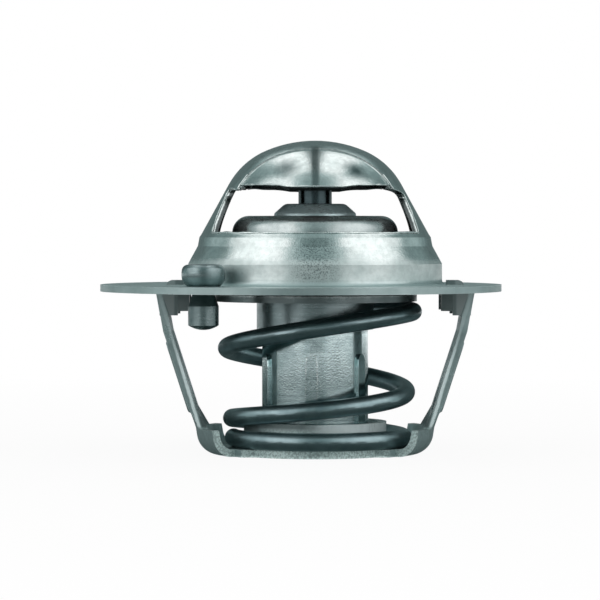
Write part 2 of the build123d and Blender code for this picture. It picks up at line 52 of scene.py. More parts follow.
# Bridge and flange
FLANGE_TOP_HEIGHT = 0.0008
SEAT_FOOT_HEIGHT = 0.0036
LEG_FOOT_HEIGHT = 0.00683
LEG_FOOT_RADIUS = 0.0136
LEG_LEAN = 0.55
LEG_TOP_HEIGHT = 0.0132
PANEL_EDGE_HEIGHT = 0.0120
# The next five set where painted shade and painted dark reflections lie on the bridge.
CUT_SHADE_DEPTH = 0.00034
DARK_REFLECTION_HALF_WIDTH = 0.0036
DARK_SPOT_CENTRE = (0.0040, 0.0078, 0.0144)
MARK_SHIFT = 0.0008
DARK_LINE_HALF_WIDTH = 0.00045
CREASE_REACH = 0.0056
BURR_BOTTOM = 0.0064
BURR_TOP = 0.0140
BURR_RADIUS = 0.00011
BURR_RAGGEDNESS = 0.00022
BURR_NOISE_SIZE = 0.0007
CUT_FACING = 0.55
SKIN_FACING = 0.6

# Lower frame
COLLAR_RADIUS = 0.0087
FOOT_TOP_HEIGHT = -0.0160
CREST_REACH = 0.0187
CREST_LEAN = 0.30
EAR_HEIGHT = -0.0048
EAR_ROOT_REACH = 0.0183
EAR_ROOT_LEAN = 0.36
EAR_TIP_REACH = 0.0166

# Valve and spring
# Below this height the plate has painted shade.
PLATE_SHADE_HEIGHT = -0.0004
CUP_COLLAR_HEIGHT = -0.0048


# Metal: fineness of its patterns, and depths of its lines and grain
PATCH_SCALE = 260.0
CLOUD_SCALE = 1500.0
WEAR_SCALE = 1700.0
GRAIN_SCALE = 5200.0
LINE_DEPTH = 0.00004
GRAIN_DEPTH = 0.00003


# Nodes of a material


def put(tree, kind, inputs=None, **settings):
    """Adds a shader node with its settings and inputs; an input may be another node's socket."""
    node = tree.nodes.new(kind)
    for key, value in settings.items():
        setattr(node, key, value)
    for key, value in (inputs or {}).items():
        if isinstance(value, bpy.types.NodeSocket):
            tree.links.new(value, node.inputs[key])
        else:
            node.inputs[key].default_value = value
    return node


def empty_material(name):
    """A material without nodes, and its tree."""
    material = bpy.data.materials.new(name)
    material.use_nodes = True
    tree = material.node_tree
    tree.nodes.clear()
    return material, tree


def send_out(tree, node, kind="ShaderNodeOutputMaterial"):
    """Leads a shader to the output."""
    tree.links.new(node.outputs[0], put(tree, kind).inputs["Surface"])


def new_material(name):
    """A material with only its shader and output, and its tree."""
    material, tree = empty_material(name)
    shader = put(tree, "ShaderNodeBsdfPrincipled")
    send_out(tree, shader)
    return material, tree, shader


def centred_place(tree, centre):
    """Place on the piece, counted from an upright axis."""
    place = put(tree, "ShaderNodeTexCoord").outputs["Object"]
    back = (-centre[0], -centre[1], -centre[2])
    mapping = put(tree, "ShaderNodeMapping", {"Vector": place, "Location": back})
    return mapping.outputs["Vector"]


def arithmetic(tree, operation, first, second=0.0, clamp=False):
    """One sum on two values or sockets."""
    node = put(tree, "ShaderNodeMath", {0: first, 1: second}, operation=operation, use_clamp=clamp)
    return node.outputs["Value"]


def product(tree, *shares):
    """Several shares multiplied."""
    result = shares[0]
    for share in shares[1:]:
        result = arithmetic(tree, "MULTIPLY", result, share)
    return result


def along(tree, place, axis):
    """One coordinate of a place."""
    return put(tree, "ShaderNodeSeparateXYZ", {"Vector": place}).outputs[axis]


def vector_sum(tree, operation, first, second=(0.0, 0.0, 0.0)):
    """One sum on vectors."""
    return put(tree, "ShaderNodeVectorMath", {0: first, 1: second}, operation=operation)


def from_axis(tree, place):
    """Distance of a place from its upright axis."""
    level = vector_sum(tree, "MULTIPLY", place, (1, 1, 0)).outputs[0]
    return vector_sum(tree, "LENGTH", level).outputs["Value"]


def blotches(tree, place, scale, detail=3.0):
    """Soft uneven pattern from 0 to 1."""
    inputs = {"Vector": place, "Scale": scale, "Detail": detail, "Roughness": 0.6}
    return put(tree, "ShaderNodeTexNoise", inputs).outputs["Fac"]


def ragged(tree, value, place, scale, depth):
    """A measure made uneven, so that its limits don't run as straight lines."""
    uneven = arithmetic(tree, "MULTIPLY", blotches(tree, place, scale), depth)
    return arithmetic(tree, "ADD", value, uneven)


def turned_lines(tree, place, fineness, length):
    """Fine lines that run round the axis, as turning or spinning leaves them."""
    level = vector_sum(tree, "MULTIPLY", place, (1, 1, 0)).outputs[0]
    round_way = vector_sum(tree, "NORMALIZE", level).outputs[0]
    slow = put(
        tree, "ShaderNodeVectorMath", {0: round_way, "Scale": length}, operation="SCALE"
    )
    upright = vector_sum(tree, "MULTIPLY", place, (0, 0, fineness)).outputs[0]
    inputs = {
        "Vector": vector_sum(tree, "ADD", slow.outputs[0], upright).outputs[0],
        "W": arithmetic(tree, "MULTIPLY", from_axis(tree, place), fineness),
        "Scale": 1.0,
        "Detail": 4.0,
        "Roughness": 0.7,
    }
    return put(tree, "ShaderNodeTexNoise", inputs, noise_dimensions="4D").outputs["Fac"]


def worn_edges(tree, width, strength):
    """Mask of the outer edges that handling has polished."""
    rounded = put(tree, "ShaderNodeBevel", {"Radius": width}, samples=6).outputs["Normal"]
    flat = put(tree, "ShaderNodeNewGeometry").outputs["Normal"]
    alike = vector_sum(tree, "DOT_PRODUCT", rounded, flat).outputs["Value"]
    unlike = arithmetic(tree, "SUBTRACT", 1.0, alike)
    return ramp(tree, unlike, 0.0, strength, 0.025, 0.16)


def ramp(tree, value, low, high, from_low=0.35, from_high=0.65):
    """Value spread between two new limits."""
    inputs = {
        "Value": value,
        "From Min": from_low,
        "From Max": from_high,
        "To Min": low,
        "To Max": high,
    }
    return put(tree, "ShaderNodeMapRange", inputs).outputs["Result"]


def colour_mix(tree, share, first, second):
    """Two colours mixed by a share."""
    mix = put(tree, "ShaderNodeMix", data_type="RGBA")
    for socket, value in ((mix.inputs[0], share), (mix.inputs[6], first), (mix.inputs[7], second)):
        if isinstance(value, bpy.types.NodeSocket):
            tree.links.new(value, socket)
        elif isinstance(value, float):
            socket.default_value = value
        else:
            socket.default_value = (*value, 1.0)
    return mix.outputs[2]


def metal(name, centre, clean, dull, worn, roughness, lines, grain, edge, bare=1.0, mottle=0.3):
    """Metal with dull blotches, lines round an axis, grain and polished edges.

    A bare of 1 is clean metal, less has a film on it. A mottle of 0 has no small clouds.
    """
    material, tree, shader = new_material(name)
    place = centred_place(tree, centre)
    patches = ramp(tree, blotches(tree, place, PATCH_SCALE, 4.0), 0.0, 1.0, 0.38, 0.68)
    fine = blotches(tree, place, GRAIN_SCALE, 2.0)
    turned = turned_lines(tree, place, lines["fineness"], lines["length"])
    wear = worn_edges(tree, edge["width"], edge["strength"])
    broken = ramp(tree, blotches(tree, place, WEAR_SCALE, 4.0), 0.1, 1.4)
    wear = arithmetic(tree, "MULTIPLY", wear, broken, clamp=True)
    cloud = ramp(tree, blotches(tree, place, CLOUD_SCALE, 6.0), 0.0, mottle, 0.42, 0.66)
    darker = tuple(0.6 * channel for channel in dull)
    body_colour = colour_mix(tree, cloud, colour_mix(tree, patches, clean, dull), darker)
    line_share = ramp(tree, turned, 0.0, lines["tint"])
    lined = colour_mix(tree, line_share, body_colour, dull)
    tree.links.new(colour_mix(tree, wear, lined, worn), shader.inputs["Base Color"])
    shader.inputs["Metallic"].default_value = bare
    rough_patch = ramp(tree, patches, roughness[0], roughness[1], 0.0, 1.0)
    rough_line = ramp(tree, turned, -lines["gloss"], lines["gloss"])
    rough = arithmetic(tree, "ADD", rough_patch, rough_line)
    polished = arithmetic(tree, "MULTIPLY", wear, -0.12)
    tree.links.new(
        arithmetic(tree, "ADD", rough, polished, clamp=True), shader.inputs["Roughness"]
    )
    line_bump = put(
        tree,
        "ShaderNodeBump",
        {"Height": turned, "Strength": lines["bump"], "Distance": LINE_DEPTH},
    )
    grain_bump = put(
        tree,
        "ShaderNodeBump",
        {
            "Height": fine,
            "Strength": grain,
            "Distance": GRAIN_DEPTH,
            "Normal": line_bump.outputs["Normal"],
        },
    )
    tree.links.new(grain_bump.outputs["Normal"], shader.inputs["Normal"])
    return material


def soft_stuff(name, light, dark, roughness, scale, bump, sheen=0.0):
    """Rubber, plastic or wax: mottled colour, uneven gloss and a fine skin."""
    material, tree, shader = new_material(name)
    place = centred_place(tree, VALVE_AXIS)
    patches = ramp(tree, blotches(tree, place, scale), 0.0, 1.0)
    skin = blotches(tree, place, 18 * scale, 2.0)
    wear = worn_edges(tree, width=0.0002, strength=0.4)
    colour = colour_mix(tree, patches, light, dark)
    paler = tuple(min(1.0, 1.25 * channel + 0.01) for channel in light)
    tree.links.new(colour_mix(tree, wear, colour, paler), shader.inputs["Base Color"])
    tree.links.new(
        ramp(tree, patches, roughness - 0.06, roughness + 0.06, 0.0, 1.0),
        shader.inputs["Roughness"],
    )
    shader.inputs["Sheen Weight"].default_value = sheen
    bumped = put(
        tree, "ShaderNodeBump", {"Height": skin, "Strength": bump, "Distance": GRAIN_DEPTH}
    )
    tree.links.new(bumped.outputs["Normal"], shader.inputs["Normal"])
    return material


# Changes to a finish on one part of its piece, painted light and shade among them


def shader_of(material):
    """The tree of a material and its shader."""
    tree = material.node_tree
    return tree, next(node for node in tree.nodes if node.type == "BSDF_PRINCIPLED")


def overlay(tree, shader, share, colour):
    """Lays another colour on a finish, by a share."""
    clean = shader.inputs["Base Color"].links[0].from_socket
    tree.links.new(colour_mix(tree, share, clean, colour), shader.inputs["Base Color"])


def roughen(tree, shader, more):
    """Adds to a finish's roughness."""
    smooth = shader.inputs["Roughness"].links[0].from_socket
    tree.links.new(arithmetic(tree, "ADD", smooth, more), shader.inputs["Roughness"])


def film(tree, shader, bare):
    """Lets a dull film lie on a metal where the bare share is below 1."""
    metallic = shader.inputs["Metallic"]
    if metallic.links:
        bare = arithmetic(tree, "MINIMUM", bare, metallic.links[0].from_socket)
    tree.links.new(bare, metallic)


def darken_past(material, height, colour, rougher, shares=(0.0, 0.85)):
    """Takes a metal to another colour and a rougher skin on one side of a height."""
    tree, shader = shader_of(material)
    place = put(tree, "ShaderNodeTexCoord").outputs["Object"]
    level = ragged(tree, along(tree, place, "Z"), place, 1500.0, 0.0006)
    share = ramp(tree, level, *shares, height, height + 0.0009)
    overlay(tree, shader, share, colour)
    roughen(tree, shader, arithmetic(tree, "MULTIPLY", share, rougher))


def paint_shade_on_cut_edges(material):
    """Paints shade dark on the inner half of the bridge's cut edges, under their bright burr."""
    tree, shader = shader_of(material)
    place = centred_place(tree, VALVE_AXIS)
    height = along(tree, place, "Z")
    above = arithmetic(tree, "SUBTRACT", height, LEG_FOOT_HEIGHT)
    drawn_in = arithmetic(tree, "MULTIPLY", above, LEG_LEAN)
    outer = arithmetic(tree, "SUBTRACT", LEG_FOOT_RADIUS, drawn_in)
    depth = arithmetic(tree, "SUBTRACT", outer, from_axis(tree, place))
    depth = ragged(tree, depth, place, 2600.0, 0.0002)
    inside = ramp(tree, depth, 0.0, 0.9, CUT_SHADE_DEPTH, CUT_SHADE_DEPTH + 0.00014)
    in_window = ramp(tree, height, 0.0, 1.0, LEG_FOOT_HEIGHT, LEG_FOOT_HEIGHT + 0.0003)
    under_panel = ramp(tree, height, 1.0, 0.0, PANEL_EDGE_HEIGHT, LEG_TOP_HEIGHT)
    share = product(tree, inside, in_window, under_panel)
    overlay(tree, shader, share, (0.03, 0.04, 0.042))


def dull_flange(material):
    """The flange is plain rolled sheet, dull, and the foot of the seat above it is rough too."""
    tree, shader = shader_of(material)
    place = centred_place(tree, VALVE_AXIS)
    height = along(tree, place, "Z")
    share = ramp(tree, height, 0.85, 0.0, FLANGE_TOP_HEIGHT + 0.0002, FLANGE_TOP_HEIGHT + 0.0008)
    rolled = colour_mix(tree, blotches(tree, place, 420.0), (0.47, 0.59, 0.59), (0.32, 0.42, 0.42))
    overlay(tree, shader, share, rolled)
    foot = ramp(tree, height, 0.24, 0.0, SEAT_FOOT_HEIGHT, SEAT_FOOT_HEIGHT + 0.0006)
    roughen(tree, shader, foot)


def paint_dark_reflection_on_seat(material):
    """A painted dark reflection, in fine dark specks, down the front and back of the seat."""
    tree, shader = shader_of(material)
    place = centred_place(tree, VALVE_AXIS)
    height = along(tree, place, "Z")
    sideways = arithmetic(tree, "ABSOLUTE", along(tree, place, "X"))
    specks = ramp(tree, blotches(tree, place, 6500.0, 2.0), 0.0, 0.85, 0.50, 0.62)
    inside = ramp(tree, sideways, 1.0, 0.0, 0.3 * DARK_REFLECTION_HALF_WIDTH, DARK_REFLECTION_HALF_WIDTH)
    low = ramp(tree, height, 1.0, 0.0, LEG_FOOT_HEIGHT - 0.0014, LEG_FOOT_HEIGHT)
    flange = FLANGE_TOP_HEIGHT
    off_flange = ramp(tree, height, 0.0, 1.0, flange + 0.0002, flange + 0.0010)
    overlay(tree, shader, product(tree, specks, inside, low, off_flange), (0.16, 0.20, 0.205))


def paint_dark_reflections_on_panels(material):
    """Two soft painted dark reflections on each panel, and a painted dark reflection line down the
    middle between them.
    """
    tree, shader = shader_of(material)
    place = centred_place(tree, VALVE_AXIS)
    beside = centred_place(tree, (VALVE_AXIS[0] + MARK_SHIFT, 0.0, 0.0))
    paired = vector_sum(tree, "ABSOLUTE", beside).outputs[0]
    away = vector_sum(tree, "DISTANCE", paired, DARK_SPOT_CENTRE).outputs["Value"]
    marks = ramp(tree, ragged(tree, away, place, 900.0, 0.0012), 0.92, 0.0, 0.0009, 0.0025)
    folded = vector_sum(tree, "ABSOLUTE", place).outputs[0]
    off_dark_line = ragged(tree, along(tree, folded, "X"), place, 3000.0, 0.0004)
    dark_line = ramp(tree, off_dark_line, 0.72, 0.0, DARK_LINE_HALF_WIDTH, DARK_LINE_HALF_WIDTH + 0.00035)
    height = along(tree, folded, "Z")
    on_panel = ramp(tree, height, 0.0, 1.0, PANEL_EDGE_HEIGHT, PANEL_EDGE_HEIGHT + 0.0002)
    forward = along(tree, folded, "Y")
    outward = ramp(tree, forward, 0.0, 1.0, CREASE_REACH - 0.0012, CREASE_REACH)
    dark_line = product(tree, dark_line, on_panel, outward)
    overlay(tree, shader, arithmetic(tree, "MAXIMUM", marks, dark_line), (0.08, 0.12, 0.12))


def paint_light_on_ears(material):
    """The folded ears, under the flange, have a dull film and painted light on them, palest next to
    the leg.
    """
    tree, shader = shader_of(material)
    place = centred_place(tree, VALVE_AXIS)
    height = along(tree, place, "Z")
    sideways = arithmetic(tree, "ABSOLUTE", along(tree, place, "X"))
    above = ramp(tree, height, 0.0, 1.0, EAR_HEIGHT, EAR_HEIGHT + 0.0009)
    spread = arithmetic(tree, "MULTIPLY", height, EAR_ROOT_LEAN)
    leg = arithmetic(tree, "ADD", EAR_ROOT_REACH, spread)
    inside_leg = ramp(tree, arithmetic(tree, "SUBTRACT", leg, sideways), 0.0, 1.0, 0.0, 0.0001)
    past_tip = ramp(tree, sideways, 0.0, 1.0, EAR_TIP_REACH, EAR_TIP_REACH + 0.0002)
    painted_light = product(tree, inside_leg, past_tip, above)
    overlay(tree, shader, painted_light, (0.84, 1.0, 1.0))
    film(tree, shader, ramp(tree, above, 1.0, 0.30, 0.0, 1.0))
    film(tree, shader, ramp(tree, painted_light, 1.0, 0.10, 0.0, 1.0))


def paint_highlight_on_legs(material):
    """A painted highlight along the crest of each leg's bead, with a line of painted shade on its
    inner side.
    """
    tree, shader = shader_of(material)
    place = centred_place(tree, VALVE_AXIS)
    height = along(tree, place, "Z")
    sideways = arithmetic(tree, "ABSOLUTE", along(tree, place, "X"))
    drawn_in = arithmetic(tree, "MULTIPLY", height, CREST_LEAN)
    off_crest = arithmetic(tree, "SUBTRACT", sideways, drawn_in)
    off_crest = arithmetic(tree, "SUBTRACT", off_crest, CREST_REACH)
    off_crest = ragged(tree, off_crest, place, 700.0, 0.00024)
    near = ramp(tree, arithmetic(tree, "ABSOLUTE", off_crest), 1.0, 0.0, 0.00014, 0.00028)
    below = ramp(tree, height, 1.0, 0.25, -0.0085, -0.0035)
    above_foot = ramp(tree, height, 0.0, 1.0, FOOT_TOP_HEIGHT - 0.0004, FOOT_TOP_HEIGHT)
    painted_highlight = product(tree, near, below, above_foot)
    # Painted shade: a dark line along the inner side of the crest.
    inner = product(tree, ramp(tree, off_crest, 0.8, 0.0, -0.00040, -0.00028), above_foot)
    overlay(tree, shader, inner, (0.10, 0.13, 0.13))
    overlay(tree, shader, painted_highlight, (0.80, 0.95, 0.95))
    film(tree, shader, ramp(tree, painted_highlight, 1.0, 0.10, 0.0, 1.0))


def brighten_cut_strip(material):
    """The strip's cut edge round the base is torn bright, and painted with a highlight where it
    faces front and back.
    """
    tree, shader = shader_of(material)
    place = centred_place(tree, VALVE_AXIS)
    front = along(tree, put(tree, "ShaderNodeNewGeometry").outputs["Normal"], "Y")
    cut = ramp(tree, arithmetic(tree, "ABSOLUTE", front), 0.0, 1.0, 0.60, 0.75)
    height = along(tree, place, "Z")
    low = ramp(tree, height, 1.0, 0.0, FOOT_TOP_HEIGHT - 0.0006, FOOT_TOP_HEIGHT)
    torn = ramp(tree, blotches(tree, place, 4200.0, 3.0), 0.0, 1.0, 0.40, 0.62)
    bright = colour_mix(tree, torn, (0.68, 0.84, 0.82), (0.34, 0.45, 0.44))
    overlay(tree, shader, product(tree, cut, low), bright)


def paint_light_on_collar(material):
    """Painted light on the collar of the base, strong on one side and faint on the other."""
    tree, shader = shader_of(material)
    place = centred_place(tree, VALVE_AXIS)
    collar = ramp(tree, from_axis(tree, place), 1.0, 0.0, COLLAR_RADIUS, COLLAR_RADIUS + 0.0003)
    sideways = ragged(tree, along(tree, place, "X"), place, 900.0, 0.002)
    share = product(tree, collar, ramp(tree, sideways, 0.15, 1.0, -0.0005, 0.0022))
    bright = colour_mix(tree, blotches(tree, place, 1300.0), (0.88, 1.0, 1.0), (0.68, 0.80, 0.80))
    overlay(tree, shader, share, bright)
    film(tree, shader, ramp(tree, share, 0.55, 0.15, 0.0, 1.0))


# Finishes, one for each material slot of the record


def bridge_steel():
    """Satin pressed steel with spinning lines round the valve axis."""
    material = metal(
        "bridge_steel",
        VALVE_AXIS,
        clean=(0.74, 0.80, 0.79),
        dull=(0.55, 0.63, 0.62),
        worn=(1.00, 1.00, 1.00),
        roughness=(0.13, 0.23),
        lines={"fineness": 2600.0, "length": 0.9, "tint": 0.25, "gloss": 0.04, "bump": 0.08},
        grain=0.35,
        edge={"width": 0.00022, "strength": 0.8},
    )
    dull_flange(material)
    paint_shade_on_cut_edges(material)
    paint_dark_reflection_on_seat(material)
    paint_dark_reflections_on_panels(material)
    return material


def frame_steel():
    """Plain strip steel, a little duller than the bridge."""
    material = metal(
        "frame_steel",
        VALVE_AXIS,
        clean=(0.40, 0.53, 0.53),
        dull=(0.27, 0.36, 0.36),
        worn=(0.66, 0.79, 0.78),
        roughness=(0.30, 0.44),
        lines={"fineness": 900.0, "length": 60.0, "tint": 0.55, "gloss": 0.06, "bump": 0.10},
        grain=0.35,
        edge={"width": 0.00022, "strength": 0.7},
    )
    # Painted light: above the ear height the strip is taken to one paler colour, where the flange
    # shades it.
    darken_past(material, EAR_HEIGHT, (0.38, 0.50, 0.50), 0.0)
    paint_light_on_ears(material)
    paint_highlight_on_legs(material)
    brighten_cut_strip(material)
    paint_light_on_collar(material)
    return material


def spring_steel():
    """Dark oil-tempered wire."""
    return metal(
        "spring_steel",
        VALVE_AXIS,
        clean=(0.36, 0.47, 0.49),
        dull=(0.22, 0.31, 0.33),
        worn=(0.40, 0.50, 0.51),
        roughness=(0.32, 0.42),
        lines={"fineness": 900.0, "length": 2.0, "tint": 0.2, "gloss": 0.03, "bump": 0.02},
        grain=0.10,
        edge={"width": 0.0001, "strength": 0.5},
        mottle=0.08,
    )


def plate_steel():
    """Drawn plate, duller than the bridge, with shade painted dark on it below the flange."""
    material = metal(
        "plate_steel",
        VALVE_AXIS,
        clean=(0.63, 0.69, 0.68),
        dull=(0.44, 0.50, 0.50),
        worn=(0.84, 0.89, 0.88),
        roughness=(0.20, 0.30),
        lines={"fineness": 2200.0, "length": 0.9, "tint": 0.3, "gloss": 0.05, "bump": 0.10},
        grain=0.12,
        edge={"width": 0.00025, "strength": 0.6},
        bare=0.92,
    )
    # Painted shade: the plate goes dark below the flange.
    darken_past(material, PLATE_SHADE_HEIGHT, (0.16, 0.20, 0.205), 0.1, (0.9, 0.0))
    return material


def guide_steel():
    """Sintered guide of the pin, mottled and matt."""
    return metal(
        "guide_steel",
        VALVE_AXIS,
        clean=(0.68, 0.84, 0.86),
        dull=(0.42, 0.54, 0.55),
        worn=(0.62, 0.73, 0.73),
        roughness=(0.26, 0.38),
        lines={"fineness": 1800.0, "length": 2.0, "tint": 0.2, "gloss": 0.04, "bump": 0.05},
        grain=0.45,
        edge={"width": 0.0002, "strength": 0.6},
        bare=0.45,
    )


def pin_steel():
    """Ground pin, its colour made very dark as painted shade from the bridge over it."""
    return metal(
        "pin_steel",
        VALVE_AXIS,
        clean=(0.060, 0.085, 0.092),
        dull=(0.040, 0.060, 0.064),
        worn=(0.20, 0.26, 0.26),
        roughness=(0.18, 0.26),
        lines={"fineness": 5000.0, "length": 0.6, "tint": 0.3, "gloss": 0.04, "bump": 0.05},
        grain=0.04,
        edge={"width": 0.00018, "strength": 0.6},
    )


def cup_metal():
    """Turned wax cup with fine tool marks, its collar darker and rougher."""
    material = metal(
        "cup_metal",
        VALVE_AXIS,
        clean=(0.72, 0.86, 0.87),
        dull=(0.44, 0.56, 0.57),
        worn=(0.94, 1.00, 1.00),
        roughness=(0.12, 0.20),
        lines={"fineness": 5200.0, "length": 0.5, "tint": 0.3, "gloss": 0.04, "bump": 0.025},
        grain=0.16,
        edge={"width": 0.0002, "strength": 0.7},
        mottle=0.1,
    )
    darken_past(material, CUP_COLLAR_HEIGHT, (0.24, 0.30, 0.31), 0.2)
    return material


def bleed_metal():
    """Small turned pin and weight of the bleed valve."""
    return metal(
        "bleed_metal",
        BLEED_AXIS,
        clean=(0.27, 0.34, 0.345),
        dull=(0.18, 0.24, 0.245),
        worn=(0.46, 0.53, 0.53),
        roughness=(0.26, 0.38),
        lines={"fineness": 4200.0, "length": 0.8, "tint": 0.3, "gloss": 0.05, "bump": 0.08},
        grain=0.14,
        edge={"width": 0.0002, "strength": 0.6},
    )


def seal_rubber():
    """Black moulded rubber of the seal and the boot."""
    return soft_stuff(
        "seal_rubber", (0.030, 0.033, 0.035), (0.016, 0.018, 0.019), 0.55, 420.0, 0.25, 0.1
    )


def wax_filling():
    """Wax, clouded with the fine copper powder that carries the heat."""
    return soft_stuff("wax", (0.48, 0.30, 0.17), (0.30, 0.17, 0.09), 0.45, 700.0, 0.2)


def washer_plastic():
    """Pale washer above the boot."""
    return soft_stuff("washer_plastic", (0.80, 0.79, 0.74), (0.68, 0.67, 0.62), 0.40, 500.0, 0.1)


def burr_steel():
    """Torn edge of the sheet, bright on its crest."""
    return metal(
        "burr_steel",
        VALVE_AXIS,
        clean=(0.93, 1.00, 0.98),
        dull=(0.39, 0.46, 0.46),
        worn=(0.99, 1.00, 1.00),
        roughness=(0.22, 0.40),
        lines={"fineness": 1200.0, "length": 40.0, "tint": 0.3, "gloss": 0.05, "bump": 0.1},
        grain=0.5,
        edge={"width": 0.00005, "strength": 0.3},
    )


def dress(names, material):
    """Gives one finish to pieces of the CAD model."""
    for name in names:
        piece = nodes[name]
        piece.data.materials.clear()
        piece.data.materials.append(material)


# Pieces that the CAD solids don't have


def pick(piece):
    """Makes a piece the only selected and active one."""
    bpy.ops.object.select_all(action="DESELECT")
    piece.select_set(True)
    bpy.context.view_layer.objects.active = piece


def copy_of(node, name):
    """A node's mesh as a new piece, with the seams between its faces joined."""
    piece = bpy.data.objects.new(name, nodes[node].data.copy())
    bpy.context.scene.collection.objects.link(piece)
    pick(piece)
    bpy.ops.object.mode_set(mode="EDIT")
    bpy.ops.mesh.select_mode(type="VERT")
    bpy.ops.mesh.select_all(action="SELECT")
    bpy.ops.mesh.remove_doubles(threshold=MERGE_DISTANCE)
    bpy.ops.mesh.select_all(action="DESELECT")
    bpy.ops.mesh.select_mode(type="EDGE")
    bpy.ops.object.mode_set(mode="OBJECT")
    return piece


def wind_spring():
    """The main spring as a piece of its own."""
    wire = copy_of("main_spring", "coil_spring")
    bpy.ops.object.shade_smooth_by_angle(angle=math.radians(40))
    wire.data.materials.clear()
    wire.data.materials.append(spring_steel())
    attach(wire, "housing")
    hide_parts("main_spring")
    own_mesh(wire)


def outer_window_edges(mesh):
    """Numbers of the edges where the bridge's outer skin meets the cut of a window."""
    sides = {}
    for face in mesh.polygons:
        for key in face.edge_keys:
            sides.setdefault(key, []).append(face.normal)
    axis = Vector(VALVE_AXIS)
    found = []
    for edge in mesh.edges:
        ends = [mesh.vertices[number].co for number in edge.vertices]
        if not all(BURR_BOTTOM < end.z < BURR_TOP for end in ends):
            continue
        outward = ((ends[0] + ends[1]) / 2 - axis).normalized()
        turns = sorted(normal.dot(outward) for normal in sides.get(edge.key, []))
        if len(turns) == 2 and turns[0] < CUT_FACING and turns[1] > SKIN_FACING:
            found.append(edge.index)
    return found


def raise_window_burr():
    """The thin torn burr that the press left round both windows."""
    sheet = copy_of("bridge_flange", "sheet_copy")
    for number in outer_window_edges(sheet.data):
        sheet.data.edges[number].select = True
    bpy.ops.object.mode_set(mode="EDIT")
    bpy.ops.mesh.duplicate()
    bpy.ops.mesh.separate(type="SELECTED")
    bpy.ops.object.mode_set(mode="OBJECT")
    burr = next(piece for piece in bpy.context.selected_objects if piece != sheet)
    bpy.data.objects.remove(sheet)
    burr.name = "window_burr"
    pick(burr)
    bpy.ops.object.convert(target="CURVE")
    burr.data.bevel_depth = BURR_RADIUS
    burr.data.bevel_resolution = 2
    burr.data.use_fill_caps = True
    bpy.ops.object.convert(target="MESH")
    bpy.ops.object.shade_smooth()
    noise = bpy.data.textures.new("burr_noise", "CLOUDS")
    noise.noise_scale = BURR_NOISE_SIZE
    tear = burr.modifiers.new("ragged", "DISPLACE")
    tear.texture = noise
    tear.texture_coords = "LOCAL"
    tear.strength = BURR_RAGGEDNESS
    bpy.ops.object.modifier_apply(modifier="ragged")
    burr.data.materials.clear()
    burr.data.materials.append(burr_steel())
    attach(burr, "housing")


# Studio


# Levels from the middle of the view, 0, to square from it, 1
LAMP_PEAK = 1.40
LAMP_LEVELS = (
    (0.0, 0.27),
    (0.10, 0.29),
    (0.20, 0.50),
    (0.30, 0.86),
    (0.38, 1.0),
    (0.70, 1.0),
    (0.86, 0.68),
    (1.0, 0.40),
)
OVERHEAD_LEVELS = (
    (0.0, 0.08),
    (0.030, 0.10),
    (0.055, 0.95),
    (0.10, 1.0),
    (0.20, 0.90),
    (0.34, 0.32),
    (0.50, 0.19),
    (1.0, 0.30),
)
ROOM_LEVELS = ((0.0, 0.17), (0.15, 0.17), (0.36, 0.17), (0.50, 0.30), (0.68, 0.52), (1.0, 0.60))
ROOM_TINT = (0.74, 1.0, 1.0, 1.0)

# Where the low lamps, the gap between them and the room behind begin or end, in degrees of climb
LAMP_TOP = (70.0, 88.0)
LAMP_RISE = 30.0
GAP_TOP = 45.0
ROOM_START = (128.0, 144.0)

# The gap's sides, on the same scale as the levels
GAP_SIDES = (0.16, 0.34)
GAP_DIMMING = 0.58
TENT_RADIUS = 1.2

# Floor and table
SKY_LEVEL = 0.55
FLOOR_COLOUR = (0.97, 0.97, 0.97, 1.0)
FLOOR_SIZE = 6.0
SHADOW_REACH = (0.03, 0.20)
TABLE_LEVEL = 0.09
TABLE_SIZE = 0.5
TABLE_LIFT = 0.0002

# Soft boxes and camera
BOX_ANGLE = 50
BOX_DISTANCE = 0.30
BOX_HEIGHT = 0.16
BOX_WIDTH = 0.26
BOX_LENGTH = 0.30
BOX_LEVEL = 0.8
CAMERA_PLACE = (-0.000108, -0.400, 0.0083)
CAMERA_AIM = (-0.000108, 0.0, -0.00108)
CAMERA_LENS = 200.3


def background_rays(tree):
    """1 for rays that see the background: from the camera, off metal and through glass."""
    rays = put(tree, "ShaderNodeLightPath")
    seen = arithmetic(tree, "MAXIMUM", rays.outputs["Is Camera Ray"], rays.outputs["Is Glossy Ray"])
    return arithmetic(tree, "MAXIMUM", seen, rays.outputs["Is Transmission Ray"])


def light_world():
    """White background, with a plain even light on the object."""
    world = bpy.data.worlds.new("studio")
    bpy.context.scene.world = world
    world.use_nodes = True
    tree = world.node_tree
    tree.nodes.clear()
    strength = ramp(tree, background_rays(tree), SKY_LEVEL, 1.0, 0.0, 1.0)
    inputs = {"Color": (1, 1, 1, 1), "Strength": strength}
    send_out(tree, put(tree, "ShaderNodeBackground", inputs), "ShaderNodeOutputWorld")


def floor_paint():
    """White floor that keeps the object's shadow near it."""
    material, tree = empty_material("floor_paint")
    paint = put(tree, "ShaderNodeBsdfDiffuse", {"Color": FLOOR_COLOUR})
    glow = put(tree, "ShaderNodeEmission", {"Color": (1, 1, 1, 1), "Strength": 1.0})
    place = put(tree, "ShaderNodeTexCoord").outputs["Object"]
    away = put(tree, "ShaderNodeVectorMath", {0: place}, operation="LENGTH").outputs["Value"]
    whiteness = ramp(tree, away, 0.93, 1.0, *SHADOW_REACH)
    share = product(tree, background_rays(tree), whiteness)
    mix = put(tree, "ShaderNodeMixShader", {0: share, 1: paint.outputs[0], 2: glow.outputs[0]})
    send_out(tree, mix)
    return material


def lay_floor():
    bpy.ops.mesh.primitive_plane_add(size=FLOOR_SIZE, location=(0, 0, FLOOR_HEIGHT))
    floor = bpy.context.object
    floor.name = "floor"
    floor.data.materials.append(floor_paint())


